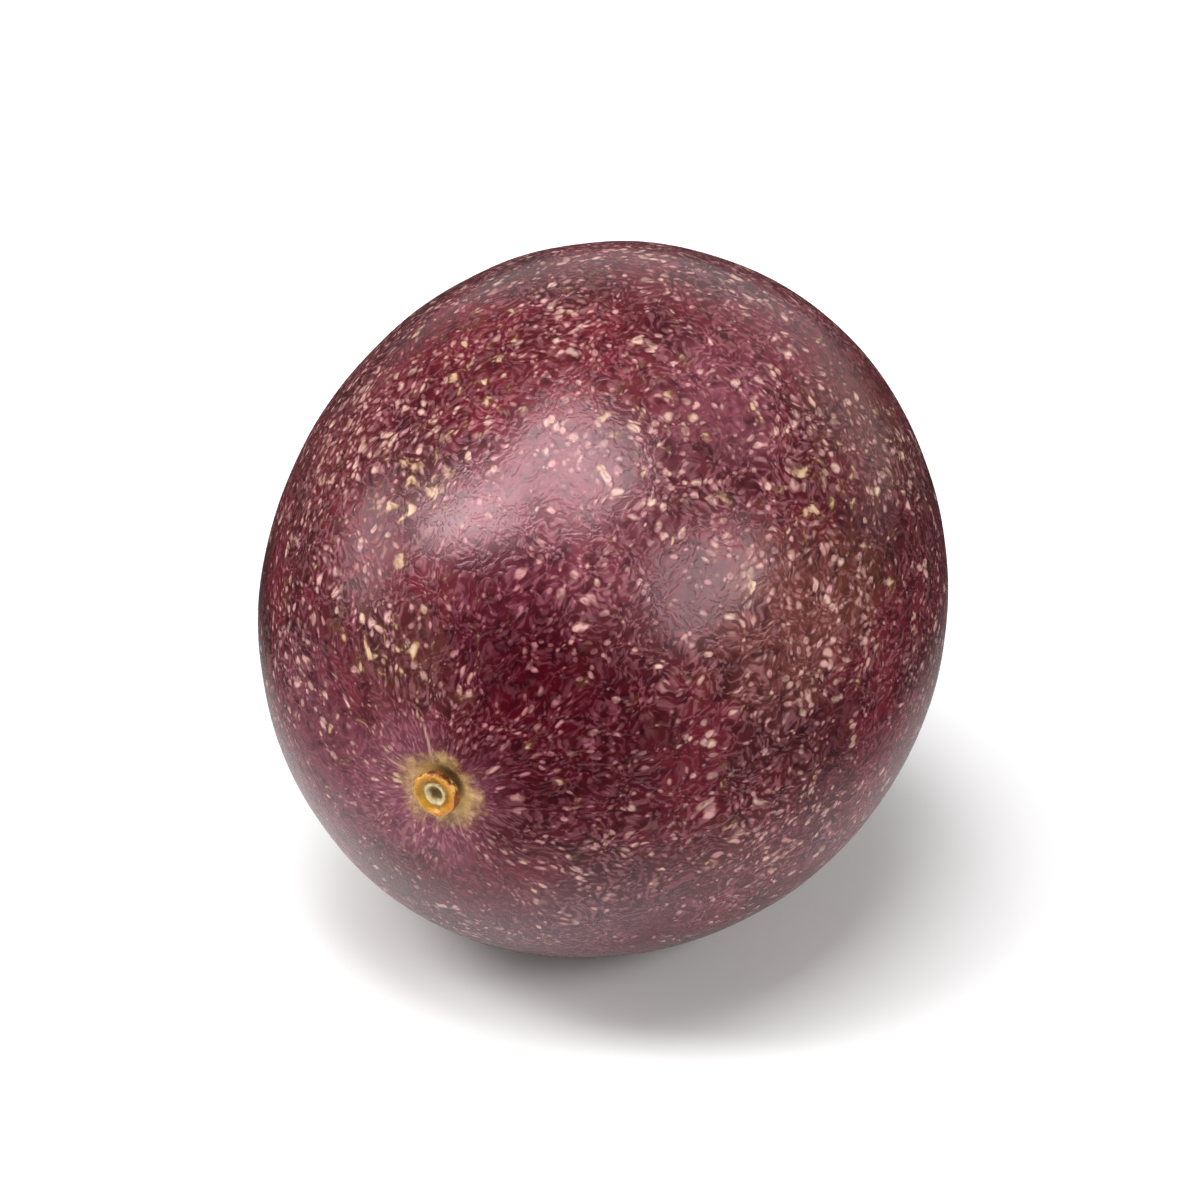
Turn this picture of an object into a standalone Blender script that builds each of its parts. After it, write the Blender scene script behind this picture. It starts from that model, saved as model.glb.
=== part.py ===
"""Whole purple passion fruit, lying on its side, with the stub of its stem.

Metres, +Z up. The stem end points along -Y and the blossom end along +Y. The origin is on the
resting surface, under the middle of the bounding box.
"""

import math

import bmesh
import bpy
from mathutils import Matrix, Vector

# Fruit: an oval that is fuller at the blossom end, with a crown that leans towards it.
HALF_WIDTH = 0.0283
HALF_HEIGHT = 0.0288
HALF_LENGTH = 0.0304
BLOSSOM_FULLNESS = 0.03  # share added to the girth at the blossom end and taken at the stem end
CROWN_LEAN = 0.054  # run along +Y for each unit of height; the stem end faces up by as much
LOBE_COUNT = 3  # one faint lobe for each carpel
LOBE_RISE = 0.006  # of the girth
LOBE_TURN = math.pi / 2  # puts a lobe on top and the flat between two lobes below

# Dimple round the stem, and the scar of the style at the blossom end.
DIMPLE_DEPTH = 0.0009
DIMPLE_RADIUS = 0.0028
SCAR_DIMPLE_DEPTH = 0.0004
SCAR_DIMPLE_RADIUS = 0.0032
SCAR_HEIGHT = 0.0008
SCAR_RADIUS = 0.0009

# Flat spot that the fruit rests on.
SPOT_DEPTH = 0.00035

# Stub of the stem, a button with a rolled rim and a pith ring round a pit, in a socket.
GAP = 0.0003
STUB_RADIUS = 0.0021
STUB_PROUD = 0.00045  # of the fruit's stem end
STUB_ROOT = 0.0012  # below the fruit's stem end
RIM_RADIUS = 0.0017
RIM_HEIGHT = 0.00042
RIM_WIDTH = 0.00032
PITH_RADIUS = 0.00085
PITH_HEIGHT = 0.00025
PITH_WIDTH = 0.0002
EDGE_ROUND = 0.0002

# Mesh of the fruit: rings crowd towards the two ends, where the small forms are.
SEGMENTS = 72
RINGS = 48
RING_CROWDING = 0.3

STUB_STEPS = 40
STUB_TOP_POINTS = 18
STUB_EDGE_POINTS = 4

# The sphere's poles are turned from Z to Y. A turned piece is made with its outer end up, and
# is then turned to face out of the stem end.
POLES_TO_Y = Matrix.Rotation(math.pi / 2, 4, "X")
OUT_OF_STEM_END = math.pi / 2 - math.atan(CROWN_LEAN)


def clear_scene():
    """Remove the objects that the file opened with."""
    for thing in list(bpy.data.objects):
        bpy.data.objects.remove(thing, do_unlink=True)


def new_collection(name):
    """A collection linked under the scene."""
    collection = bpy.data.collections.new(name)
    bpy.context.scene.collection.children.link(collection)
    return collection


def new_material(name, colour, roughness):
    """A Principled material with the sub-part's own colour and roughness."""
    material = bpy.data.materials.new(name)
    material.use_nodes = True
    shader = material.node_tree.nodes["Principled BSDF"]
    shader.inputs["Base Color"].default_value = (*colour, 1.0)
    shader.inputs["Roughness"].default_value = roughness
    shader.inputs["Metallic"].default_value = 0.0
    material.diffuse_color = (*colour, 1.0)
    return material


def new_object(name, mesh, collection, material):
    """A sub-part: its mesh as an object of its own, in the collection, with its material."""
    thing = bpy.data.objects.new(name, mesh)
    collection.objects.link(thing)
    mesh.materials.append(material)
    return thing


def bump(distance, height, spread):
    """A smooth round rise that fades out past its spread."""
    return height * math.exp(-((distance / spread) ** 2))


def crowd_to_ends(direction):
    """Slide a point of the unit sphere along its meridian, so that rings crowd at both ends."""
    angle = math.acos(max(-1.0, min(1.0, direction.y)))
    angle -= RING_CROWDING * math.sin(2 * angle)
    ring = math.hypot(direction.x, direction.z)
    if ring < 1e-6:
        return direction.copy()
    scale = math.sin(angle) / ring
    return Vector((direction.x * scale, math.cos(angle), direction.z * scale))


def skin_point(direction):
    """Where the skin lies, for a direction on the unit sphere with its poles along Y."""
    point = crowd_to_ends(direction)
    ring = math.hypot(point.x, point.z)
    turn = math.atan2(point.z, point.x)
    lobes = LOBE_RISE * math.cos(LOBE_COUNT * turn + LOBE_TURN) * ring**2
    girth = (1 + BLOSSOM_FULLNESS * point.y) * (1 + lobes)
    x = HALF_WIDTH * point.x * girth
    z = HALF_HEIGHT * point.z * girth
    y = HALF_LENGTH * point.y
    off_axis = math.hypot(x, z)
    if point.y < 0:
        y += bump(off_axis, DIMPLE_DEPTH, DIMPLE_RADIUS)
    else:
        y -= bump(off_axis, SCAR_DIMPLE_DEPTH, SCAR_DIMPLE_RADIUS)
        y += bump(off_axis, SCAR_HEIGHT, SCAR_RADIUS)
    return Vector((x, y + CROWN_LEAN * z, z))


def cut_flat_spot(mesh):
    """Slice off the lowest part, close the cut, and return the cut's height."""
    height = min(vertex.co.z for vertex in mesh.verts) + SPOT_DEPTH
    cut = bmesh.ops.bisect_plane(
        mesh,
        geom=mesh.verts[:] + mesh.edges[:] + mesh.faces[:],
        plane_co=(0, 0, height),
        plane_no=(0, 0, -1),
        clear_outer=True,
    )
    rim = [item for item in cut["geom_cut"] if isinstance(item, bmesh.types.BMEdge)]
    bmesh.ops.contextual_create(mesh, geom=rim)
    return height


def make_fruit_mesh():
    """The fruit's body before its socket is cut, and the shift that puts it on the origin."""
    mesh = bmesh.new()
    bmesh.ops.create_uvsphere(mesh, u_segments=SEGMENTS, v_segments=RINGS, radius=1.0)
    bmesh.ops.transform(mesh, matrix=POLES_TO_Y, verts=mesh.verts)
    for vertex in mesh.verts:
        vertex.co = skin_point(vertex.co)
    floor = cut_flat_spot(mesh)
    stem_tip = -HALF_LENGTH - STUB_PROUD
    blossom_tip = max(vertex.co.y for vertex in mesh.verts)
    left = min(vertex.co.x for vertex in mesh.verts)
    right = max(vertex.co.x for vertex in mesh.verts)
    shift = Vector((-(left + right) / 2, -(stem_tip + blossom_tip) / 2, -floor))
    bmesh.ops.translate(mesh, vec=shift, verts=mesh.verts)
    bmesh.ops.recalc_face_normals(mesh, faces=mesh.faces)
    data = bpy.data.meshes.new("fruit")
    mesh.to_mesh(data)
    mesh.free()
    return data, shift


def make_socket_cutter(collection, shift):
    """A plain cylinder that clears the stub and its root by the gap."""
    radius = STUB_RADIUS + GAP
    depth = 2 * (STUB_ROOT + GAP)
    bpy.ops.mesh.primitive_cylinder_add(vertices=STUB_STEPS, radius=radius, depth=depth)
    cutter = bpy.context.object
    cutter.name = "socket_cutter"
    for holder in list(cutter.users_collection):
        holder.objects.unlink(cutter)
    collection.objects.link(cutter)
    cutter.location = shift + Vector((0, -HALF_LENGTH, 0))
    cutter.rotation_euler = (OUT_OF_STEM_END, 0, 0)
    cutter.hide_render = True
    cutter.display_type = "WIRE"
    return cutter


def make_fruit(parts, cutters):
    """The whole fruit: rind, dimple, style scar, flat spot and the socket of the stub."""
    data, shift = make_fruit_mesh()
    skin = new_material("fruit_rind", (0.16, 0.035, 0.045), 0.42)
    fruit = new_object("fruit", data, parts, skin)
    cut = fruit.modifiers.new("socket", "BOOLEAN")
    cut.operation = "DIFFERENCE"
    cut.solver = "EXACT"
    cut.object = make_socket_cutter(cutters, shift)
    data.shade_smooth()
    data.set_sharp_from_angle(angle=math.radians(40))
    return shift


def stub_profile():
    """The stub's outline from the middle of its top, over the rim and down to its root."""
    points = []
    flat_radius = STUB_RADIUS - EDGE_ROUND
    for step in range(STUB_TOP_POINTS):
        radius = flat_radius * step / (STUB_TOP_POINTS - 1)
        height = bump(radius - RIM_RADIUS, RIM_HEIGHT, RIM_WIDTH)
        height += bump(radius - PITH_RADIUS, PITH_HEIGHT, PITH_WIDTH)
        points.append((radius, STUB_PROUD - RIM_HEIGHT + height))
    edge_top = points[-1][1]
    for step in range(1, STUB_EDGE_POINTS + 1):
        angle = math.pi / 2 * step / STUB_EDGE_POINTS
        radius = flat_radius + EDGE_ROUND * math.sin(angle)
        points.append((radius, edge_top - EDGE_ROUND * (1 - math.cos(angle))))
    points.append((STUB_RADIUS, -STUB_ROOT))
    points.append((0.0, -STUB_ROOT))
    return points


def make_stem_stub(parts, shift):
    """The button that the stem broke off from, turned about the fruit's axis."""
    points = stub_profile()
    data = bpy.data.meshes.new("stem_stub")
    edges = [(index, index + 1) for index in range(len(points) - 1)]
    data.from_pydata([(radius, 0.0, height) for radius, height in points], edges, [])
    bark = new_material("stem_bark", (0.50, 0.27, 0.07), 0.6)
    stub = new_object("stem_stub", data, parts, bark)
    stub.location = shift + Vector((0, -HALF_LENGTH, 0))
    stub.rotation_euler = (OUT_OF_STEM_END, 0, 0)
    turn = stub.modifiers.new("turn", "SCREW")
    turn.axis = "Z"
    turn.angle = 2 * math.pi
    turn.steps = STUB_STEPS
    turn.render_steps = STUB_STEPS
    turn.use_merge_vertices = True
    turn.merge_threshold = 0.00001
    turn.use_smooth_shade = True


def main():
    clear_scene()
    parts = new_collection("passion_fruit")
    cutters = new_collection("cutters")
    shift = make_fruit(parts, cutters)
    make_stem_stub(parts, shift)


main()
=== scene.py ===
"""Whole purple passion fruit on its side: its skin, the stub of its stem, and a white studio."""

import math

import bpy
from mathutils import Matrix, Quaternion, Vector


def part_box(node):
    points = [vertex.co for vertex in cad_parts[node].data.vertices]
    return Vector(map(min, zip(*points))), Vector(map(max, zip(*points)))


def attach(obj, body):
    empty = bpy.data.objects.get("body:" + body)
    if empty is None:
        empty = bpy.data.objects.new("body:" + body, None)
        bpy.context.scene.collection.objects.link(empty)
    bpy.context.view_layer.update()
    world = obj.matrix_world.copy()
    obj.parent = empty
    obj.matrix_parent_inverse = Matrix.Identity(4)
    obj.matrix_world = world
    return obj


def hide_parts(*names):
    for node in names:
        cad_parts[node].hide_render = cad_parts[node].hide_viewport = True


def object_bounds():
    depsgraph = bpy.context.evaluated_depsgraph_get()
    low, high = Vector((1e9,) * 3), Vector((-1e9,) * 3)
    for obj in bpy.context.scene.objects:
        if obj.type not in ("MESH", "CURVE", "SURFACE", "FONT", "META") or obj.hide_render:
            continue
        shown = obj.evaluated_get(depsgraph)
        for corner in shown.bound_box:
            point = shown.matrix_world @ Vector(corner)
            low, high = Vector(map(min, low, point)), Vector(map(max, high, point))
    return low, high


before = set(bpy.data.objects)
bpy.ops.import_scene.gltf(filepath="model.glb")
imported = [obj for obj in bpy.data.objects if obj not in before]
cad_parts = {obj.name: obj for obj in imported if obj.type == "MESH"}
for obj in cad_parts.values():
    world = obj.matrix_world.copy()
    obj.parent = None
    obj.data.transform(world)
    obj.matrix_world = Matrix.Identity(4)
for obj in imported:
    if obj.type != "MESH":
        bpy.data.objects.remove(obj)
cad_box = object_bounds()

# --- Skin -----------------------------------------------------------------------------------------
# The fruit's rind, grown as one piece: a leathery shell, purple when ripe, with a waxy satin skin.
# It dips round the stem, where it draws up into creases, and round the style's scar at the other
# end. It is a fine sphere drawn onto the solid's own form, and then given its low relief.

MM = 0.001
low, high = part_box("fruit")
fruit_centre = (low + high) / 2
fruit_half = (high - low) / 2
stub_low, stub_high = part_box("stem_stub")
stub_centre = (stub_low + stub_high) / 2
SOCKET_RADIUS = 2.4 * MM
SOCKET_EDGE = SOCKET_RADIUS + 0.05 * MM  # faces that lie nearer the axis are the socket's own
MERGE_WITHIN = 0.01 * MM
SUBDIVISIONS = 2


def off_axis(point):
    """Distance of a point from the fruit's axis, which runs from the stem to the style's scar."""
    return math.hypot(point.x - stub_centre.x, point.z - stub_centre.z)


# A copy of the solid, merged, with its socket capped, rounded by subdivision.
bpy.ops.object.select_all(action="DESELECT")
cad_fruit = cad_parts["fruit"]
cast = cad_fruit.copy()
cast.data = cad_fruit.data.copy()
bpy.context.collection.objects.link(cast)
bpy.context.view_layer.objects.active = cast
cast.select_set(True)
bpy.ops.object.mode_set(mode="EDIT")
bpy.ops.mesh.select_mode(type="FACE")
bpy.ops.mesh.select_all(action="SELECT")
bpy.ops.mesh.remove_doubles(threshold=MERGE_WITHIN)
bpy.ops.mesh.select_all(action="DESELECT")
bpy.ops.object.mode_set(mode="OBJECT")
for face in cast.data.polygons:
    face.select = face.center.y < 0 and off_axis(face.center) < SOCKET_EDGE
bpy.ops.object.mode_set(mode="EDIT")
bpy.ops.mesh.delete(type="FACE")
bpy.ops.mesh.select_mode(type="EDGE")
bpy.ops.mesh.select_all(action="DESELECT")
bpy.ops.mesh.select_non_manifold()
bpy.ops.mesh.edge_face_add()
bpy.ops.mesh.select_all(action="SELECT")
bpy.ops.mesh.tris_convert_to_quads()
bpy.ops.object.mode_set(mode="OBJECT")
rounding = cast.modifiers.new("rounding", "SUBSURF")
rounding.levels = SUBDIVISIONS
rounding.render_levels = SUBDIVISIONS
bpy.ops.object.modifier_apply(modifier="rounding")

# The fine skin: a sphere a little larger than the fruit, with its poles at the stem and blossom
# ends. Its rings are split near both ends, where the small forms are, and it is drawn onto that
# copy and evened out.
SEGMENTS = 384
RINGS = 160
OVERSIZE = 1.03
FINE_REACH = 8.5 * MM  # from the axis
LEAST_RING_STEP = 0.1 * MM
RING_CUTS = 3
EVENING_FACTOR, EVENING_PASSES = 0.5, 6
bpy.ops.object.select_all(action="DESELECT")
bpy.ops.mesh.primitive_uv_sphere_add(
    segments=SEGMENTS,
    ring_count=RINGS,
    radius=OVERSIZE,
    location=(stub_centre.x, fruit_centre.y, stub_centre.z),
    rotation=(math.pi / 2, 0, 0),
    scale=(fruit_half.x, fruit_half.z, fruit_half.y),
)
skin = bpy.context.object
skin.name = "skin"
skin.data.name = "skin"
bpy.ops.object.transform_apply(location=True, rotation=True, scale=True)
bpy.ops.object.mode_set(mode="EDIT")
bpy.ops.mesh.select_mode(type="EDGE")
bpy.ops.mesh.select_all(action="DESELECT")
bpy.ops.object.mode_set(mode="OBJECT")
for edge in skin.data.edges:
    inner, outer = sorted(off_axis(skin.data.vertices[end].co) for end in edge.vertices)
    edge.select = outer < FINE_REACH and outer - inner > LEAST_RING_STEP
bpy.ops.object.mode_set(mode="EDIT")
bpy.ops.mesh.subdivide(number_cuts=RING_CUTS)
bpy.ops.object.mode_set(mode="OBJECT")
wrap = skin.modifiers.new("wrap", "SHRINKWRAP")
wrap.target = cast
wrap.wrap_method = "PROJECT"
wrap.use_negative_direction = True
wrap.use_positive_direction = True
bpy.ops.object.modifier_apply(modifier="wrap")
even = skin.modifiers.new("even", "SMOOTH")
even.factor = EVENING_FACTOR
even.iterations = EVENING_PASSES
bpy.ops.object.modifier_apply(modifier="even")
bpy.data.objects.remove(cast, do_unlink=True)

# Low swells and hollows all over.
SWELL_WIDTH = 13 * MM
SWELL_HEIGHT = 0.35 * MM  # half of it up and half down
swell = bpy.data.textures.new("swells", "CLOUDS")
swell.noise_scale = SWELL_WIDTH
swell.noise_depth = 1
swells = skin.modifiers.new("swells", "DISPLACE")
swells.texture = swell
swells.mid_level = 0.5
swells.strength = SWELL_HEIGHT
bpy.ops.object.modifier_apply(modifier="swells")

# Creases that draw in to the stem: turn about it in degrees, start, end and width in millimetres.
CREASES = (
    (106, 2.2, 7.4, 0.17),
    (-58, 2.1, 6.4, 0.11),
    (159, 2.9, 6.6, 0.13),
    (5, 2.1, 3.6, 0.13),
    (205, 2.4, 4.6, 0.11),
    (-112, 2.4, 5.0, 0.12),
)
CREASE_SWAY = 0.035  # radians to either side as it runs out
CREASE_WAVES = 1.3  # radians of that sway's swing for each millimetre
FADE_IN = 0.4  # millimetres
FADE_OUT = 0.625  # of the crease's length
MOAT_SIDE = math.radians(48)  # turn about the stem at which the moat is deepest
MOAT_REACH, MOAT_SPREAD = 1.5, 1.0  # millimetres
PUCKERS = 8  # round the style's scar
PUCKER_REACH, PUCKER_SPREAD = 1.5, 0.6  # millimetres


def stem_turn(point):
    """A point's turn about the stem, from +X towards +Z."""
    return math.atan2(point.z - stub_centre.z, point.x - stub_centre.x)


def crease_share(point):
    """How much of a crease's depth a point has, from 0 to 1."""
    reach = off_axis(point) / MM
    share = 0.0
    for angle, start, end, width in CREASES:
        if start < reach < end:
            sway = CREASE_SWAY * math.sin(CREASE_WAVES * reach + angle)
            swing = math.remainder(stem_turn(point) - math.radians(angle) - sway, 2 * math.pi)
            fade_out = (end - reach) / (FADE_OUT * (end - start))
            along = min((reach - start) / FADE_IN, fade_out, 1.0)
            share = max(share, along * math.exp(-((swing * reach / width) ** 2)))
    return share


def moat_share(point):
    """How deep a point is in the ring pressed in round the stem, which is deepest on one side."""
    reach = off_axis(point) / MM
    lean = 0.5 + 0.5 * math.cos(stem_turn(point) - MOAT_SIDE)
    return lean * math.exp(-(((reach - MOAT_REACH) / MOAT_SPREAD) ** 2))


def scar_share(point):
    """Dry puckers that run out from the style's scar, unevenly spaced."""
    reach = off_axis(point) / MM
    turn = stem_turn(point)
    uneven = 1.6 * math.sin(2 * turn) + math.sin(3 * turn)
    fold = max(0.0, math.cos(PUCKERS * turn + uneven))
    return fold * math.exp(-(((reach - PUCKER_REACH) / PUCKER_SPREAD) ** 2))


RELIEF_REACH = 11 * MM  # from the axis; no share is left beyond it


def relief(name, height, share, at_stem):
    """Push the skin out by a height times each point's share, and keep the shares for colour."""
    shares = [0.0] * len(skin.data.vertices)
    pushed = skin.vertex_groups.new(name="pushed")
    for vertex in skin.data.vertices:
        if (vertex.co.y < fruit_centre.y) == at_stem and off_axis(vertex.co) < RELIEF_REACH:
            shares[vertex.index] = share(vertex.co)
            pushed.add([vertex.index], shares[vertex.index], "REPLACE")
    push = skin.modifiers.new(name, "DISPLACE")
    push.vertex_group = "pushed"
    push.mid_level = 0.0
    push.strength = height
    bpy.ops.object.modifier_apply(modifier=name)
    skin.vertex_groups.clear()
    kept = skin.data.attributes.new(name, "FLOAT", "POINT")
    kept.data.foreach_set("value", shares)


MOAT_DEPTH = 0.55 * MM
CREASE_DEPTH = 0.12 * MM
PUCKER_HEIGHT = 0.1 * MM
relief("moat", -MOAT_DEPTH, moat_share, True)
relief("crease", -CREASE_DEPTH, crease_share, True)
relief("pucker", PUCKER_HEIGHT, scar_share, False)

# What the swells pushed below the table is pressed flat again.
bpy.ops.object.mode_set(mode="EDIT")
bpy.ops.mesh.select_mode(type="VERT")
bpy.ops.mesh.select_all(action="DESELECT")
bpy.ops.object.mode_set(mode="OBJECT")
for vertex in skin.data.vertices:
    vertex.select = vertex.co.z < low.z
bpy.ops.object.mode_set(mode="EDIT")
bpy.ops.transform.resize(value=(1, 1, 0), center_override=(0, 0, low.z))
bpy.ops.object.mode_set(mode="OBJECT")
bpy.ops.object.shade_smooth()


# Inputs are given by name, or by place where a node has several alike. For MapRange 0 is the value,
# 1 and 2 are the span it comes from and 3 and 4 the span it goes to, or 0 to 1 where they are left
# out. For Mix 0 is the share, and 6 and 7 are the two colours, or 2 and 3 the two values. Math and
# VectorMath take theirs in order.
def add(tree, kind, inputs, out=0, **settings):
    """Add a node with its settings, link or set its inputs, and give back one output."""
    node = tree.nodes.new("ShaderNode" + kind)
    for name, value in settings.items():
        setattr(node, name, value)
    for name, value in inputs.items():
        if isinstance(value, bpy.types.NodeSocket):
            tree.links.new(value, node.inputs[name])
        else:
            node.inputs[name].default_value = value
    return node.outputs[out]


def colour(code):
    """Linear RGBA of an sRGB hex code."""
    channels = [int(code[i : i + 2], 16) / 255 for i in (1, 3, 5)]
    return (*[c / 12.92 if c <= 0.04045 else ((c + 0.055) / 1.055) ** 2.4 for c in channels], 1)


# Ripe passion fruit rind: wine red to brown purple under a thin wax, finely veined with pink, and
# flecked all over with cream cork spots, with a few larger russet marks. The wax gives a satin
# gloss. The sizes of its patterns are in millimetres.
CLOUD_SIZE = 9
EDGE_SIZE = 5
SWIRL_SIZE = 3.5
RUSSET_SIZE = 3.2
CLUMP_SIZE = 2.4
CRUMB_SIZE = 1.4
BLOTCH_SIZE = 1.2
PATCHY_SIZE = 0.9
STROKE_SIZE = 0.54
STROKE_RISE = 0.014

BROWN_PURPLE = "#421519"
WINE_RED = "#5c1622"
BLOTCH = "#1e060c"
STROKE_PINK = "#70484e"
# multiplied over the ripest places and, as painted shade, below the highlight at the front
STAIN_AND_SHADE = "#d6b4c6"
RUSSET_EDGE, RUSSET_DEEP, RUSSET_PALE = "#5c3c26", "#a07c60", "#dcbc9c"
TAN_DEEP, TAN_PALE = "#a0783c", "#e2c486"
CREASE_PALE = "#c8a088"
# the moat's colour is painted shade in the hollow beside the stub
MOAT_SHADE = "#3c2210"
SCAR_CORK, SCAR_PUCKER, SCAR_NUB = "#86644a", "#b8946c", "#34221a"
WAX_TINT = "#ffe0e6"
DULLEST, GLOSSIEST = 0.34, 0.22  # roughness

rind = bpy.data.materials.new("passion_fruit_rind")
rind.use_nodes = True
tree = rind.node_tree
shader = tree.nodes["Principled BSDF"]

# Places in millimetres round the fruit's axis: x to the right, y up, z out of the stem end.
AXIS_FRAME = {
    "Location": (stub_centre.x, 0, stub_centre.z),
    "Rotation": (math.pi / 2, 0, 0),
    "Scale": (MM, MM, MM),
}
place = add(tree, "TexCoord", {}, out="Object")
spot = add(tree, "Mapping", {"Vector": place, **AXIS_FRAME}, vector_type="TEXTURE")
across = add(tree, "VectorMath", {0: spot, 1: (1, 1, 0)}, operation="MULTIPLY")
reach = add(tree, "VectorMath", {0: across}, operation="LENGTH", out="Value")
height = add(tree, "SeparateXYZ", {0: spot})

# The pattern is drawn out towards the two ends, where the skin grew least round the fruit: within
# this many millimetres of the axis it is squeezed sideways, the more the nearer.
DRAWN_REACH = 12.0
DRAWN_POWER = 0.32
squeeze = add(tree, "Math", {0: DRAWN_REACH, 1: reach}, operation="DIVIDE")
squeeze = add(tree, "Math", {0: squeeze, 1: squeeze, 2: 1.0}, operation="MULTIPLY_ADD")
squeeze = add(tree, "Math", {0: squeeze, 1: DRAWN_POWER}, operation="POWER")
squeeze = add(tree, "CombineXYZ", {0: squeeze, 1: squeeze, 2: 1.0})
grown = add(tree, "VectorMath", {0: spot, 1: squeeze}, operation="MULTIPLY")

# Ground: brown purple that turns to wine red in slow clouds.
slow = add(tree, "TexNoise", {"Vector": spot, "Scale": 1 / CLOUD_SIZE, "Detail": 3.0}, out="Color")
slow = add(tree, "SeparateColor", {0: slow})
wine = add(tree, "MapRange", {0: slow, 1: 0.38, 2: 0.64}, interpolation_type="SMOOTHSTEP")
ground = {0: wine, 6: colour(BROWN_PURPLE), 7: colour(WINE_RED)}
base = add(tree, "Mix", ground, out=2, data_type="RGBA")

# Wide patches with ragged edges, most where the ripening ran ahead or behind and a few that are
# painted
# light (painted highlight, shade and reflection, each marked): middle, radius, colour, strength, and
# how much thicker the flecks stand. A place is given in millimetres from the middle of the fruit's
# axis: to the right, towards the stem end, and up.
PATCHES = (
    # painted highlight: a lighter pink patch where the lamps' highlight falls
    ((5.6, 19.0, 21.2), 14.0, "#6c343f", 0.6, 0.0),
    # painted shade: darker red just below the highlight at the front
    ((3.5, 24.5, 15.0), 9.0, "#4c1420", 0.5, 0.0),
    ((8.0, 26.8, 6.0), 12.0, "#4c0414", 0.88, 0.0),
    ((1.2, 7.3, 28.1), 9.0, "#6a222c", 0.5, 0.2),
    ((12.5, 4.0, 26.0), 9.0, "#70404a", 0.6, 0.3),
    ((20.5, -8.8, 18.5), 10.0, "#5c3428", 0.5, 0.2),
    ((25.8, 5.8, 12.0), 7.0, "#5e3424", 0.5, 0.2),
    ((-3.9, 27.1, 9.5), 7.0, "#3c2420", 0.6, 0.0),
    ((22.0, 17.0, -6.0), 9.0, "#4e0a14", 0.7, 0.1),
    ((-20.0, -12.0, 14.0), 12.0, "#5e2430", 0.6, 0.0),
    ((-14.0, -20.0, -8.0), 11.0, "#3e2024", 0.6, 0.0),
    ((14.0, -24.0, 2.0), 9.0, "#5c1c2a", 0.6, 0.0),
    ((2.0, -25.0, 14.0), 11.0, "#5a3038", 0.6, 0.0),
    ((-17.0, 13.0, 18.0), 10.0, "#5a2a2c", 0.4, 0.6),
    ((-9.5, 18.0, 20.0), 8.0, "#3c161c", 0.5, 0.15),
    # partly the skin's own mauve, partly painted reflection of the white table, low beside the stem
    ((-11.7, 26.5, -1.9), 12.0, "#74404c", 0.65, -0.15),
    # partly the skin's own mauve, partly painted reflection of the white table, round the stem
    ((-1.0, 30.0, -1.0), 9.0, "#84505f", 0.6, 0.0),
    # painted shade: the low front side darkened, with fewer flecks
    ((9.0, 22.0, -17.0), 15.0, "#4a242e", 0.75, -0.3),
    ((22.0, 12.0, 12.0), 10.0, "#6a3c34", 0.6, 0.2),
)
PATCH_CORE = 0.3  # of its radius, within which a patch is at full strength
EDGE_WANDER = 9.0  # millimetres that an edge wanders at most, half of them to either side
ragged = add(tree, "TexNoise", {"Vector": spot, "Scale": 1 / EDGE_SIZE, "Detail": 3.0}, out="Color")
ragged = {0: ragged, 1: (EDGE_WANDER, EDGE_WANDER, EDGE_WANDER), 2: spot}
ragged = add(tree, "VectorMath", ragged, operation="MULTIPLY_ADD")


def share_near(place, inner, outer, most):
    """A share that is at its most near a place and falls to none, with a ragged edge, round it."""
    x, toward, up = place
    middle = (x + EDGE_WANDER / 2, up + EDGE_WANDER / 2, toward + EDGE_WANDER / 2)
    gap = add(tree, "VectorMath", {0: ragged, 1: middle}, operation="DISTANCE", out="Value")
    share = {0: gap, 1: inner, 2: outer, 3: most, 4: 0.0}
    return add(tree, "MapRange", share, interpolation_type="SMOOTHSTEP")


# The flecks also crowd and thin out all over, in slow clouds and in clumps of a few millimetres.
crowd = {0: slow.node.outputs["Blue"], 1: 0.36, 2: 0.62, 3: -0.15, 4: 0.2}
crowd = add(tree, "MapRange", crowd)
clump = add(tree, "TexNoise", {"Vector": grown, "Scale": 1 / CLUMP_SIZE, "Detail": 1.0})
clump = add(tree, "MapRange", {0: clump, 1: 0.34, 2: 0.66, 3: -0.22, 4: 0.22})
crowd = add(tree, "Math", {0: crowd, 1: clump}, operation="ADD")
for middle, radius, tint, strength, thicker in PATCHES:
    share = share_near(middle, PATCH_CORE * radius, radius, strength)
    base = add(tree, "Mix", {0: share, 6: base, 7: colour(tint)}, out=2, data_type="RGBA")
    if thicker:
        crowd = add(tree, "Math", {0: share, 1: thicker, 2: crowd}, operation="MULTIPLY_ADD")

# Strokes and flecks lie in swirls: both are drawn in places that a slow noise pushes about, the
# strokes by more millimetres than the flecks.
STROKE_PUSH = 4.5
FLECK_PUSH = 2.4
swirl = add(tree, "TexNoise", {"Vector": grown, "Scale": 1 / SWIRL_SIZE, "Detail": 2.0}, out="Color")
curled = {0: swirl, 1: (STROKE_PUSH, STROKE_PUSH, STROKE_PUSH), 2: grown}
curled = add(tree, "VectorMath", curled, operation="MULTIPLY_ADD")
bent = {0: swirl, 1: (FLECK_PUSH, FLECK_PUSH, FLECK_PUSH), 2: grown}
bent = add(tree, "VectorMath", bent, operation="MULTIPLY_ADD")

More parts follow.
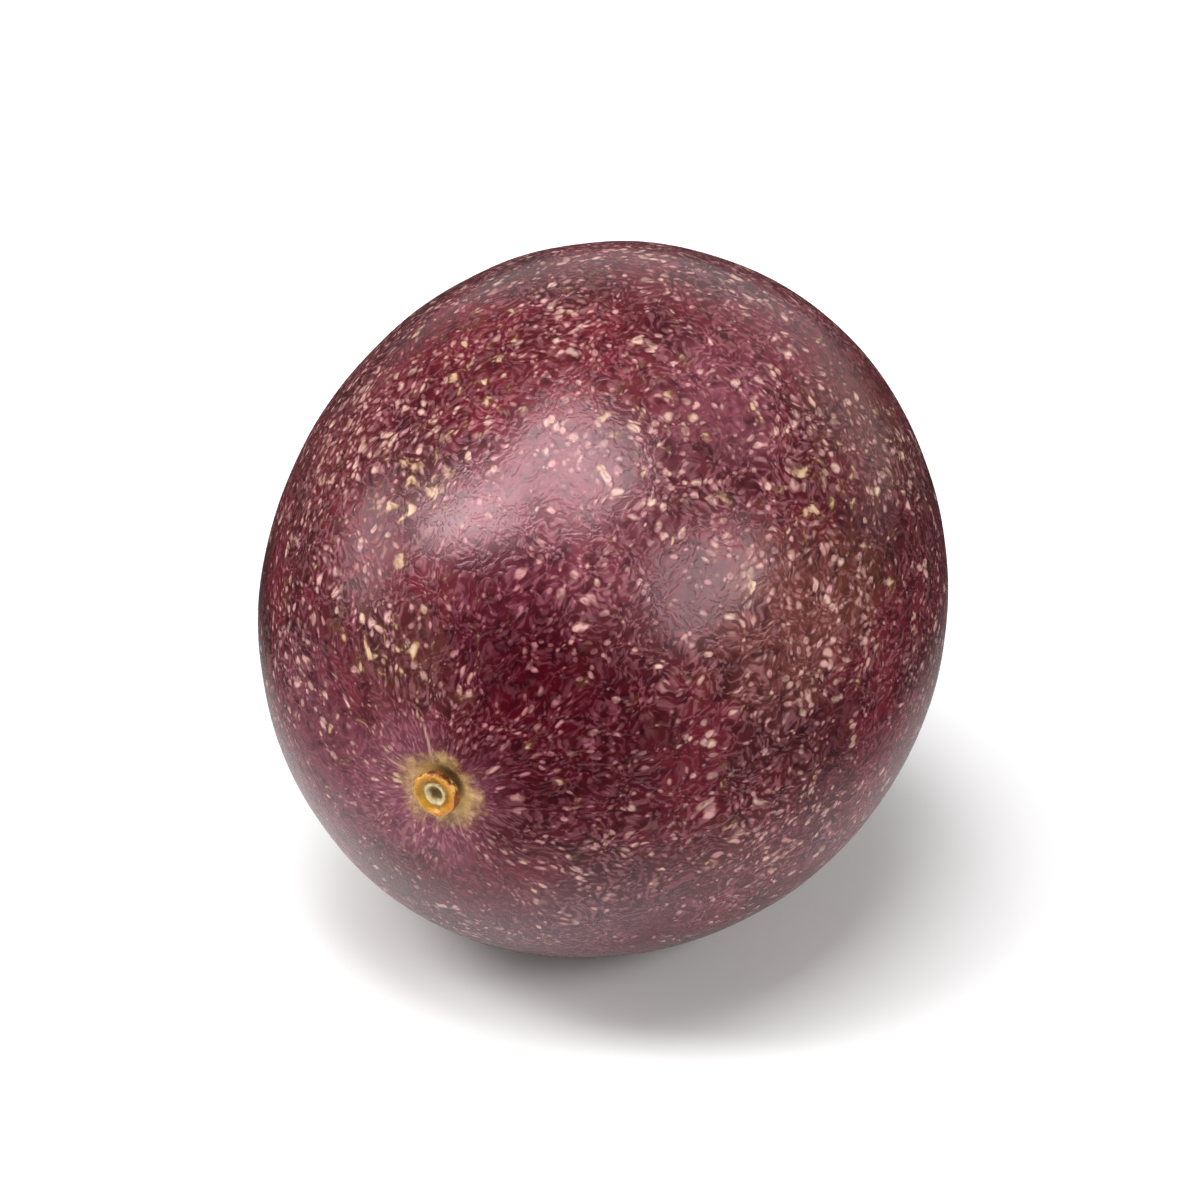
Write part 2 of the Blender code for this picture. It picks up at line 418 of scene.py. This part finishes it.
# Dark blotches in the ground. They are fainter on the underside and at the two ends, and gain their
# full strength over these millimetres of height and of distance from the axis.
LOW_SPAN = (-20.0, -6.0)
AXIS_SPAN = (2.0, 10.0)
blotch = {"Vector": spot, "Scale": 1 / BLOTCH_SIZE, "Detail": 2.0, "Roughness": 0.6}
blotch = add(tree, "TexNoise", blotch)
shade = add(tree, "MapRange", {0: blotch, 1: 0.46, 2: 0.66, 3: 0.0, 4: 0.6})
for source, span in ((height.node.outputs["Y"], LOW_SPAN), (reach, AXIS_SPAN)):
    fade = add(tree, "MapRange", {0: source, 1: span[0], 2: span[1], 3: 0.3, 4: 1.0})
    shade = add(tree, "Math", {0: shade, 1: fade}, operation="MULTIPLY")
base = add(tree, "Mix", {0: shade, 6: base, 7: colour(BLOTCH)}, out=2, data_type="RGBA")

# Pink strokes, which fade in and out.
level = add(tree, "TexNoise", {"Vector": curled, "Scale": 1 / STROKE_SIZE, "Detail": 1.0})
strokes = add(tree, "MapRange", {0: level, 1: 0.44, 2: 0.7})
bright = {0: slow.node.outputs["Green"], 1: 0.36, 2: 0.62, 3: 0.25, 4: 0.9}
bright = add(tree, "MapRange", bright)
share = add(tree, "Math", {0: strokes, 1: bright}, operation="MULTIPLY")
paler = {0: share, 6: base, 7: colour(STROKE_PINK)}
base = add(tree, "Mix", paler, out=2, data_type="RGBA", blend_type="SCREEN")

# Flecks of cork, one to a cell at most, of chance size, strength and tint, worn thin in places: the
# cell in millimetres, the share of cells left empty, the widest radius in cells, and two tints. The
# smallest are the pinkest.
FLECKS = (
    (0.64, 0.15, 0.42, "#b07a80", "#c49488"),
    (0.92, 0.2, 0.42, "#c89094", "#d4ac98"),
    (1.35, 0.45, 0.38, "#d4a4a0", "#dcbaa2"),
)
worn = add(tree, "MapRange", {0: level, 1: 0.36, 2: 0.56, 3: 0.45, 4: 1.0})
for cell, empty, widest, pink, cream in FLECKS:
    gap = add(tree, "TexVoronoi", {"Vector": bent, "Scale": 1 / cell})
    chance = add(tree, "SeparateColor", {0: gap.node.outputs["Color"]})
    often = add(tree, "Math", {0: chance, 1: crowd}, operation="ADD")
    radius = add(tree, "MapRange", {0: often, 1: empty, 2: 1.0, 3: 0.0, 4: widest})
    inside = add(tree, "Math", {0: radius, 1: gap}, operation="SUBTRACT")
    strength = add(tree, "MapRange", {0: chance.node.outputs["Green"], 3: 0.3, 4: 0.9})
    strength = add(tree, "Math", {0: strength, 1: worn}, operation="MULTIPLY")
    fleck = add(tree, "MapRange", {0: inside, 1: -0.02, 2: 0.16, 4: strength})
    tint = {0: chance.node.outputs["Blue"], 6: colour(pink), 7: colour(cream)}
    tint = add(tree, "Mix", tint, out=2, data_type="RGBA")
    base = add(tree, "Mix", {0: fleck, 6: base, 7: tint}, out=2, data_type="RGBA")

# Where the rind ripened first, its wine red lies over the flecks as well; the second place is
# painted shade below the highlight at the front, not ripening: middle and radius.
RIPE_AND_SHADED_PLACES = (
    ((8.0, 26.8, 6.0), 12.0),
    # painted shade: darkens skin and flecks below the highlight at the front
    ((3.5, 24.5, 15.0), 8.0),
)
DARKENING_CORE = 0.4  # of its radius
for middle, radius in RIPE_AND_SHADED_PLACES:
    share = share_near(middle, DARKENING_CORE * radius, radius, 0.9)
    darkened = {0: share, 6: base, 7: colour(STAIN_AND_SHADE)}
    base = add(tree, "Mix", darkened, out=2, data_type="RGBA", blend_type="MULTIPLY")

# Russet marks: loose clusters of tan cork, a millimetre or more long, on browner skin and paler in
# their middles. There are a few all over, and more near these places: middle, and how many more.
RUSSET_PLACES = (
    ((-8.7, 19.0, 20.1), 0.16),
    ((-10.4, 3.4, 26.8), 0.11),
    ((-7.4, 11.5, 25.6), 0.13),
    ((-10.0, 25.4, 10.0), 0.08),
    ((20.8, 3.0, 18.7), 0.12),
    ((7.7, 8.3, 26.7), 0.08),
    ((-4.0, 29.0, 9.0), 0.08),
)
RUSSET_CORE, RUSSET_REACH = 1.0, 7.0  # millimetres
island = {"Vector": grown, "Scale": 1 / RUSSET_SIZE, "Detail": 1.0, "Distortion": 0.5}
island = add(tree, "TexNoise", island)
island = add(tree, "MapRange", {0: island, 1: 0.66, 2: 0.78, 3: 0.0, 4: 0.2})
for middle, more in RUSSET_PLACES:
    share = share_near(middle, RUSSET_CORE, RUSSET_REACH, more)
    island = add(tree, "Math", {0: island, 1: share}, operation="ADD")
crumbs = {"Vector": grown, "Scale": 1 / CRUMB_SIZE, "Detail": 2.5, "Distortion": 0.5}
crumbs = add(tree, "TexNoise", crumbs)
crumbs = add(tree, "Math", {0: crumbs, 1: island}, operation="ADD")
brown = add(tree, "MapRange", {0: crumbs, 1: 0.6, 2: 0.72, 3: 0.0, 4: 0.45})
base = add(tree, "Mix", {0: brown, 6: base, 7: colour(RUSSET_EDGE)}, out=2, data_type="RGBA")
russet = add(tree, "MapRange", {0: crumbs, 1: 0.7, 2: 0.78, 3: 0.0, 4: 0.85})
pale = add(tree, "MapRange", {0: crumbs, 1: 0.72, 2: 0.9})
tint = {0: pale, 6: colour(RUSSET_DEEP), 7: colour(RUSSET_PALE)}
tint = add(tree, "Mix", tint, out=2, data_type="RGBA")
base = add(tree, "Mix", {0: russet, 6: base, 7: tint}, out=2, data_type="RGBA")

# Bare tan skin in a ragged star round the stem, thinning out into the purple. Its shortest and
# longest spokes are given in millimetres, before their edges are frayed.
SPOKES_REACH = (1.7, 2.7)
spokes = add(tree, "VectorMath", {0: across}, operation="NORMALIZE")
spokes = add(tree, "TexNoise", {"Vector": spokes, "Scale": 1.6, "Detail": 1.0})
edge = {0: spokes, 1: 0.32, 2: 0.68, 3: SPOKES_REACH[0], 4: SPOKES_REACH[1]}
edge = add(tree, "MapRange", edge)
edge = add(tree, "Math", {0: edge, 1: reach}, operation="SUBTRACT")
patchy = {"Vector": spot, "Scale": 1 / PATCHY_SIZE, "Detail": 3.0, "Roughness": 0.7}
patchy = add(tree, "TexNoise", patchy)
edge = add(tree, "Math", {0: patchy, 1: 3.0, 2: edge}, operation="MULTIPLY_ADD")
halo = {0: edge, 1: -0.4, 2: 1.8, 3: 0.0, 4: 0.85}
halo = add(tree, "MapRange", halo, interpolation_type="SMOOTHSTEP")
at_stem = add(tree, "Math", {0: height.node.outputs["Z"], 1: 0.0}, operation="GREATER_THAN")
halo = add(tree, "Math", {0: halo, 1: at_stem}, operation="MULTIPLY")
tan = {0: patchy, 6: colour(TAN_DEEP), 7: colour(TAN_PALE)}
tan = add(tree, "Mix", tan, out=2, data_type="RGBA")
base = add(tree, "Mix", {0: halo, 6: base, 7: tan}, out=2, data_type="RGBA")

# Creases are pale along their folds, and the moat is painted dark brown at its deepest: painted
# shade in the hollow beside the stub.
crease = add(tree, "Attribute", {}, out="Fac", attribute_name="crease")
crease = add(tree, "MapRange", {0: crease, 1: 0.35, 2: 0.9, 3: 0.0, 4: 0.65})
base = add(tree, "Mix", {0: crease, 6: base, 7: colour(CREASE_PALE)}, out=2, data_type="RGBA")
moat = add(tree, "Attribute", {}, out="Fac", attribute_name="moat")
moat = add(tree, "MapRange", {0: moat, 1: 0.55, 2: 0.95, 3: 0.0, 4: 0.85})
base = add(tree, "Mix", {0: moat, 6: base, 7: colour(MOAT_SHADE)}, out=2, data_type="RGBA")

# The scar of the style at the blossom end: a dark dry nub in a ragged ring of tan cork, which has
# paler puckers.
past = add(tree, "Math", {0: 1.0, 1: at_stem}, operation="SUBTRACT")
ring = {0: edge, 1: 1.2, 2: 3.0, 3: 0.0, 4: 0.8}
ring = add(tree, "MapRange", ring, interpolation_type="SMOOTHSTEP")
ring = add(tree, "Math", {0: ring, 1: past}, operation="MULTIPLY")
base = add(tree, "Mix", {0: ring, 6: base, 7: colour(SCAR_CORK)}, out=2, data_type="RGBA")
pucker = add(tree, "Attribute", {}, out="Fac", attribute_name="pucker")
pucker = add(tree, "MapRange", {0: pucker, 1: 0.2, 2: 1.0, 3: 0.0, 4: 0.4})
base = add(tree, "Mix", {0: pucker, 6: base, 7: colour(SCAR_PUCKER)}, out=2, data_type="RGBA")
nub = {0: reach, 1: 0.4, 2: 1.0, 3: 0.9, 4: 0.0}
nub = add(tree, "MapRange", nub, interpolation_type="SMOOTHSTEP")
nub = add(tree, "Math", {0: nub, 1: past}, operation="MULTIPLY")
base = add(tree, "Mix", {0: nub, 6: base, 7: colour(SCAR_NUB)}, out=2, data_type="RGBA")
tree.links.new(base, shader.inputs["Base Color"])

# Satin wax, duller on the strokes, which stand up from the skin by about a hundredth of a
# millimetre.
rough = add(tree, "MapRange", {0: strokes, 3: GLOSSIEST, 4: DULLEST})
tree.links.new(rough, shader.inputs["Roughness"])
shader.inputs["Specular Tint"].default_value = colour(WAX_TINT)
bump = add(tree, "Bump", {"Height": strokes, "Distance": STROKE_RISE * MM, "Strength": 1.0})
tree.links.new(bump, shader.inputs["Normal"])
skin.data.materials.append(rind)

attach(skin, "root")
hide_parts("fruit")

# --- Stem stub ------------------------------------------------------------------------------------
# The button left where the stem broke off: corky, golden tan, with a rolled rim, a pale ring of
# pith and a dark pit. It grows out of the middle of the dimple.

STUB_RADIUS = 1.98 * MM
STUB_WALL = 1.1 * MM
STUB_SIDES = 64
STUB_PROUD = 0.5 * MM  # how far the stub's tip stands out past the fruit's end
STUB_SINK = 0.85 * MM  # how deep its foot lies below the fruit's end
STEM_TILT = math.radians(3.1)  # the stem end faces up by as much
stem_turned = (math.pi / 2 - STEM_TILT, 0, 0)
stem_axis = Vector((0, -math.cos(STEM_TILT), math.sin(STEM_TILT)))
stem_point = Vector((stub_centre.x, stub_low.y + STUB_PROUD, stub_centre.z))

# From the wall inwards: each step's inset and rise in millimetres.
STUB_STEPS = (
    (0.08, 0.12),
    (0.16, 0.09),
    (0.18, -0.01),
    (0.16, -0.14),
    (0.18, -0.14),
    (0.14, -0.03),
    (0.1, 0.12),
    (0.14, 0.03),
    (0.12, -0.1),
    (0.14, -0.24),
    (0.14, -0.12),
)
bpy.ops.object.select_all(action="DESELECT")
bpy.ops.mesh.primitive_circle_add(vertices=STUB_SIDES, radius=STUB_RADIUS, fill_type="NGON")
stub = bpy.context.object
stub.name = "stem_button"
stub.data.name = "stem_button"
bpy.ops.object.mode_set(mode="EDIT")
bpy.ops.mesh.select_mode(type="FACE")
bpy.ops.mesh.select_all(action="SELECT")
bpy.ops.mesh.extrude_region_move(TRANSFORM_OT_translate={"value": (0, 0, STUB_WALL)})
for inset, rise in STUB_STEPS:
    bpy.ops.mesh.inset(thickness=inset * MM)
    bpy.ops.transform.translate(value=(0, 0, rise * MM))
bpy.ops.mesh.select_all(action="SELECT")
bpy.ops.mesh.normals_make_consistent(inside=False)
bpy.ops.object.mode_set(mode="OBJECT")
rounding = stub.modifiers.new("rounding", "SUBSURF")
rounding.levels = SUBDIVISIONS
rounding.render_levels = SUBDIVISIONS
bpy.ops.object.modifier_apply(modifier="rounding")

# It broke off unevenly: it leans and is lumpy. Width and height of the swells in millimetres.
STUB_SWELLS = (
    ("lean", 1.5, 0.4),
    ("lumps", 0.6, 0.07),
)
for name, width, rise in STUB_SWELLS:
    texture = bpy.data.textures.new(name, "CLOUDS")
    texture.noise_scale = width * MM
    push = stub.modifiers.new(name, "DISPLACE")
    push.texture = texture
    push.mid_level = 0.5
    push.strength = rise * MM
    bpy.ops.object.modifier_apply(modifier=name)
stub.rotation_euler = stem_turned
stub.location = stem_point - stem_axis * STUB_SINK
bpy.ops.object.transform_apply(location=True, rotation=True, scale=True)
bpy.ops.object.shade_smooth()

# Dry cork of the stem, worn smooth, with resin on the rim, so that it shines a little. Its colour
# changes ring by ring, and the rings wander. Sizes are in millimetres.
RING_TINTS = (  # share of the stub's radius, and colour
    (0.0, "#5c4a1e"),
    (0.22, "#6e5624"),
    (0.34, "#b8a67c"),
    (0.46, "#ccbc94"),
    (0.55, "#a88030"),
    (0.68, "#a87a16"),
    (0.8, "#bc8424"),
    (0.92, "#c8964c"),
    (0.97, "#7c4a1a"),
    (1.0, "#3c220c"),
)
RESIN = "#bc5c14"
CORK_SPECK = "#5a3008"
WANDER_SIZE, WANDER_BY = 0.6, 0.8
RESIN_SIZE = 1.2
SPECK_SIZE, SPECK_RISE = 0.22, 0.06
STEM_FRAME = {
    "Location": stem_point,
    "Rotation": stem_turned,
    "Scale": (MM, MM, MM),
}
cork = bpy.data.materials.new("stem_cork")
cork.use_nodes = True
tree = cork.node_tree
shader = tree.nodes["Principled BSDF"]
place = add(tree, "TexCoord", {}, out="Object")
spot = add(tree, "Mapping", {"Vector": place, **STEM_FRAME}, vector_type="TEXTURE")
wander = {"Vector": spot, "Scale": 1 / WANDER_SIZE, "Detail": 2.0}
wander = add(tree, "TexNoise", wander, out="Color")
wander = add(tree, "VectorMath", {0: wander, 1: (0.5, 0.5, 0.5)}, operation="SUBTRACT")
bent = {0: wander, 1: (WANDER_BY, WANDER_BY, WANDER_BY), 2: spot}
bent = add(tree, "VectorMath", bent, operation="MULTIPLY_ADD")
bent = add(tree, "VectorMath", {0: bent, 1: (1, 1, 0)}, operation="MULTIPLY")
reach = add(tree, "VectorMath", {0: bent}, operation="LENGTH", out="Value")
reach = add(tree, "Math", {0: reach, 1: STUB_RADIUS / MM}, operation="DIVIDE")
rings = add(tree, "ValToRGB", {0: reach})
stops = rings.node.color_ramp.elements
stops.remove(stops[1])
stops[0].color = colour(RING_TINTS[0][1])
for where, tint in RING_TINTS[1:]:
    stops.new(where).color = colour(tint)
resin = add(tree, "TexNoise", {"Vector": spot, "Scale": 1 / RESIN_SIZE, "Detail": 1.0})
resin = add(tree, "MapRange", {0: resin, 1: 0.45, 2: 0.6, 3: 0.0, 4: 0.35})
outer = add(tree, "MapRange", {0: reach, 1: 0.5, 2: 0.7})
resin = add(tree, "Math", {0: resin, 1: outer}, operation="MULTIPLY")
tint = add(tree, "Mix", {0: resin, 6: rings, 7: colour(RESIN)}, out=2, data_type="RGBA")
specks = {"Vector": spot, "Scale": 1 / SPECK_SIZE, "Detail": 3.0, "Roughness": 0.65}
specks = add(tree, "TexNoise", specks)
dark = add(tree, "MapRange", {0: specks, 1: 0.52, 2: 0.72, 3: 0.0, 4: 0.7})
tint = add(tree, "Mix", {0: dark, 6: tint, 7: colour(CORK_SPECK)}, out=2, data_type="RGBA")
tree.links.new(tint, shader.inputs["Base Color"])
shine = add(tree, "MapRange", {0: specks, 1: 0.35, 2: 0.65, 3: 0.2, 4: 0.42})
tree.links.new(shine, shader.inputs["Roughness"])
bump = add(tree, "Bump", {"Height": specks, "Distance": SPECK_RISE * MM, "Strength": 0.8})
tree.links.new(bump, shader.inputs["Normal"])
stub.data.materials.append(cork)

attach(stub, "root")
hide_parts("stem_stub")

# --- Studio ---------------------------------------------------------------------------------------
# A white table and white surroundings under four soft boxes: a wide one overhead, the key light at
# the front left, and weaker ones to the left and to the right.

TABLE_SIZE = 1.2
TABLE_WHITE = "#f4f4f4"
bpy.ops.mesh.primitive_plane_add(size=TABLE_SIZE)
floor = bpy.context.object
floor.name = "floor"
paper = bpy.data.materials.new("white_table")
paper.use_nodes = True
shader = paper.node_tree.nodes["Principled BSDF"]
shader.inputs["Base Color"].default_value = colour(TABLE_WHITE)
shader.inputs["Roughness"].default_value = 0.7
floor.data.materials.append(paper)

# A card just above the table, which only reflections see, keeps the fruit's low side deep in
# colour: it is pale grey under the fruit and fades to black a few centimetres out.
CARD_RADIUS = 1.5
CARD_SIDES = 64
CARD_FADE = (0.02, 0.07)  # metres from its middle
CARD_GREY, CARD_BLACK = "#e0e0e0", "#060606"
bpy.ops.object.select_all(action="DESELECT")
bpy.ops.mesh.primitive_circle_add(
    vertices=CARD_SIDES, radius=CARD_RADIUS, fill_type="NGON", location=(0, 0, MM)
)
card = bpy.context.object
card.name = "graded_card"
card.visible_camera = False
card.visible_diffuse = False
card.visible_shadow = False
graded = bpy.data.materials.new("graded_card")
graded.use_nodes = True
tree = graded.node_tree
shader = tree.nodes["Principled BSDF"]
place = add(tree, "TexCoord", {}, out="Object")
gap = add(tree, "VectorMath", {0: place}, operation="LENGTH", out="Value")
fade = {0: gap, 1: CARD_FADE[0], 2: CARD_FADE[1], 3: 0.0, 4: 1.0}
fade = add(tree, "MapRange", fade, interpolation_type="SMOOTHSTEP")
grey = {0: fade, 6: colour(CARD_GREY), 7: colour(CARD_BLACK)}
grey = add(tree, "Mix", grey, out=2, data_type="RGBA")
tree.links.new(grey, shader.inputs["Base Color"])
shader.inputs["Roughness"].default_value = 0.9
card.data.materials.append(graded)

# Place, width and height in metres, turn about the beam in degrees, and power in watts.
LAMPS = (
    ("overhead", (-0.06, -0.22, 1.50), (1.0, 0.7), 0, 20.0),
    ("key", (-0.74, -0.60, 1.15), (0.9, 0.36), 59, 14.0),
    ("left", (-1.38, -0.38, 0.52), (0.7, 0.5), 0, 4.0),
    ("right", (1.11, -0.26, 0.81), (0.9, 0.5), 0, 9.0),
)
middle = (cad_box[0] + cad_box[1]) / 2
for name, spot, size, turn, power in LAMPS:
    light = bpy.data.lights.new(name, "AREA")
    light.shape = "RECTANGLE"
    light.size, light.size_y = size
    light.energy = power
    lamp = bpy.data.objects.new(name, light)
    bpy.context.collection.objects.link(lamp)
    lamp.location = spot
    aim = (middle - Vector(spot)).to_track_quat("-Z", "Y")
    lamp.rotation_euler = (aim @ Quaternion((0, 0, 1), math.radians(turn))).to_euler()
    lamp.visible_camera = False

# White to the camera. Reflections see a white wall behind and a dark room in front, and the rest is
# a dim even light.
WALL_WAY = (-0.05, 1.0, -0.3)
ROOM_DARK, WALL_BRIGHT = 0.03, 0.7
DIM_LIGHT = 0.22
world = bpy.data.worlds.new("studio")
bpy.context.scene.world = world
world.use_nodes = True
tree = world.node_tree
way = add(tree, "TexCoord", {}, out="Generated")
back = add(tree, "VectorMath", {0: way, 1: WALL_WAY}, operation="DOT_PRODUCT", out="Value")
wall = {0: back, 1: 0.45, 2: 0.8, 3: ROOM_DARK, 4: WALL_BRIGHT}
wall = add(tree, "MapRange", wall, interpolation_type="SMOOTHSTEP")
path = add(tree, "LightPath", {}, out="Is Glossy Ray")
seen = add(tree, "Mix", {0: path, 2: DIM_LIGHT, 3: wall}, out=0, data_type="FLOAT")
seen = add(tree, "Math", {0: seen, 1: path.node.outputs["Is Camera Ray"]}, operation="ADD")
tree.links.new(seen, tree.nodes["Background"].inputs["Strength"])
tree.nodes["Background"].inputs["Color"].default_value = (1, 1, 1, 1)

# The camera looks down at the fruit's middle from the stem end, a little from the right.
AZIMUTH, ELEVATION = math.radians(25.4), math.radians(33.3)
DISTANCE = 0.55
FRUIT_SHARE = 0.62  # of the frame's width, along the fruit's length
flat = math.cos(ELEVATION)
towards = Vector((math.sin(AZIMUTH) * flat, -math.cos(AZIMUTH) * flat, math.sin(ELEVATION)))
lens = bpy.data.cameras.new("camera")
camera = bpy.data.objects.new("camera", lens)
bpy.context.collection.objects.link(camera)
camera.location = middle + towards * DISTANCE
camera.rotation_euler = (-towards).to_track_quat("-Z", "Y").to_euler()
lens.lens = lens.sensor_width * DISTANCE * FRUIT_SHARE / (cad_box[1].y - cad_box[0].y)
bpy.context.scene.camera = camera
bpy.context.scene.view_settings.view_transform = "Standard"
